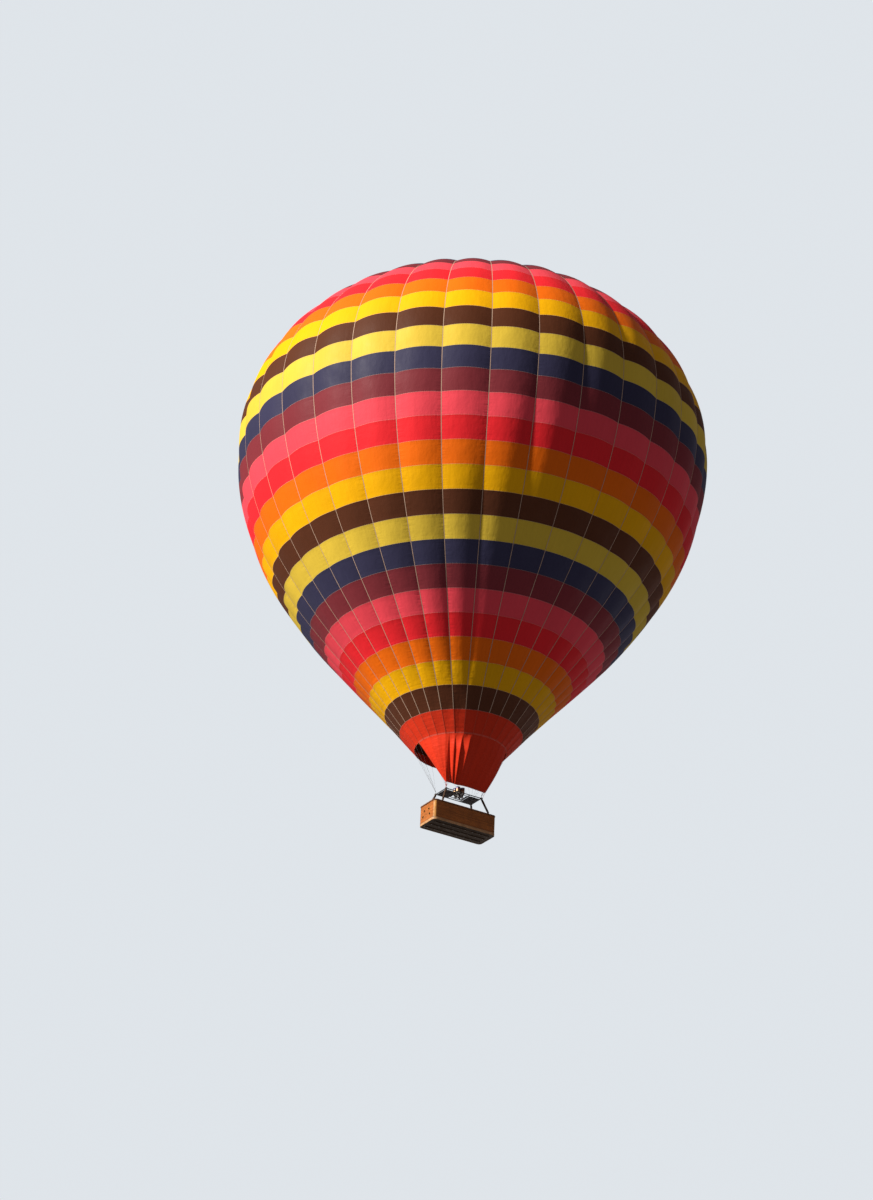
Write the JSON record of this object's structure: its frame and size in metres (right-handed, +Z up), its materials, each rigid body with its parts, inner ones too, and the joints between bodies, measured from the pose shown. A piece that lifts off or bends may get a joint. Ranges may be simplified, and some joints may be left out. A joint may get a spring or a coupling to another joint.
{
  "type": "hot air balloon",
  "caption": "Striped hot air balloon with a parachute valve, a mouth scoop, gimballed burners on a load frame and a partitioned wicker basket.",
  "frame": {"origin": "on the envelope's vertical axis at its widest section, where the lift acts", "axes": "+Z up; +X along the basket's long side; +Y across the basket, away from the middle of the scoop's long side"},
  "size_m": [27.2156, 27.2156, 33.5741],
  "materials": {
    "fabric_brown": "coated ripstop, lightly creased",
    "fabric_gold": "coated ripstop, lightly creased",
    "fabric_orange": "coated ripstop, lightly creased",
    "fabric_red": "coated ripstop, lightly creased",
    "fabric_pink": "coated ripstop, lightly creased",
    "fabric_maroon": "coated ripstop, lightly creased",
    "fabric_navy": "coated ripstop, lightly creased",
    "fabric_straw": "coated ripstop, lightly creased",
    "fabric_scarlet": "flameproof cloth, matt",
    "webbing": "woven load tape",
    "steel_tube": "satin stainless tube",
    "wire": "stranded stainless wire",
    "burner_steel": "heat-tinted stainless sheet",
    "black_cloth": "black heat-proof cloth",
    "wicker": "varnished woven cane",
    "hide": "rawhide, scuffed",
    "leather": "dark padded leather",
    "plywood": "varnished plywood",
    "hardwood": "worn hardwood",
    "tank_jacket": "padded tank cover"
  },
  "bodies": {
    "balloon": {"basket_floor": "plywood", "basket_hide": "hide", "basket_rim": "leather", "basket_walls": "wicker", "crown_tapes": "webbing", "flying_wires_far_left": "wire", "flying_wires_far_right": "wire", "flying_wires_near_left": "wire", "flying_wires_near_right": "wire", "fuel_tank_far_left": "tank_jacket", "fuel_tank_far_right": "tank_jacket", "fuel_tank_near_left": "tank_jacket", "fuel_tank_near_right": "tank_jacket", "heat_shield_left": "black_cloth", "heat_shield_right": "black_cloth", "load_frame": "steel_tube", "mouth_band": "fabric_scarlet", "partition_left": "wicker", "partition_right": "wicker", "runner_1": "hardwood", "runner_2": "hardwood", "runner_3": "hardwood", "scoop": "fabric_scarlet", "stripe_01_brown": "fabric_brown", "stripe_02_gold": "fabric_gold", "stripe_03_orange": "fabric_orange", "stripe_04_red": "fabric_red", "stripe_05_pink": "fabric_pink", "stripe_06_maroon": "fabric_maroon", "stripe_07_navy": "fabric_navy", "stripe_08_straw": "fabric_straw", "stripe_09_brown": "fabric_brown", "stripe_10_gold": "fabric_gold", "stripe_11_orange": "fabric_orange", "stripe_12_red": "fabric_red", "stripe_13_pink": "fabric_pink", "stripe_14_maroon": "fabric_maroon", "stripe_15_navy": "fabric_navy", "stripe_16_straw": "fabric_straw", "stripe_17_brown": "fabric_brown", "stripe_18_gold": "fabric_gold", "stripe_19_orange": "fabric_orange", "stripe_20_red": "fabric_red", "stripe_21_pink": "fabric_pink", "stripe_22_maroon": "fabric_maroon", "stripe_23_navy": "fabric_navy", "stripe_24_straw": "fabric_straw", "stripe_25_brown": "fabric_brown", "stripe_26_gold": "fabric_gold", "stripe_27_orange": "fabric_orange", "upright_far_left": "leather", "upright_far_right": "leather", "upright_near_left": "leather", "upright_near_right": "leather"},
    "valve": {"parachute_valve": "fabric_red"},
    "cradle": {"burner_cradle": "steel_tube"},
    "burner_set": {"burners": "burner_steel"}
  },
  "joints": [
    {"name": "valve_pull", "type": "slide", "parent": "balloon", "child": "valve", "axis": [0, 0, -1], "range_m": [0, 1.2]},
    {"name": "cradle_tilt", "type": "hinge", "parent": "balloon", "child": "cradle", "pos_m": [0, 0, -21.38], "axis": [1, 0, 0], "range_deg": [-12, 12]},
    {"name": "burner_tilt", "type": "hinge", "parent": "cradle", "child": "burner_set", "pos_m": [0, 0, -21.38], "axis": [0, 1, 0], "range_deg": [-12, 12]}
  ]
}
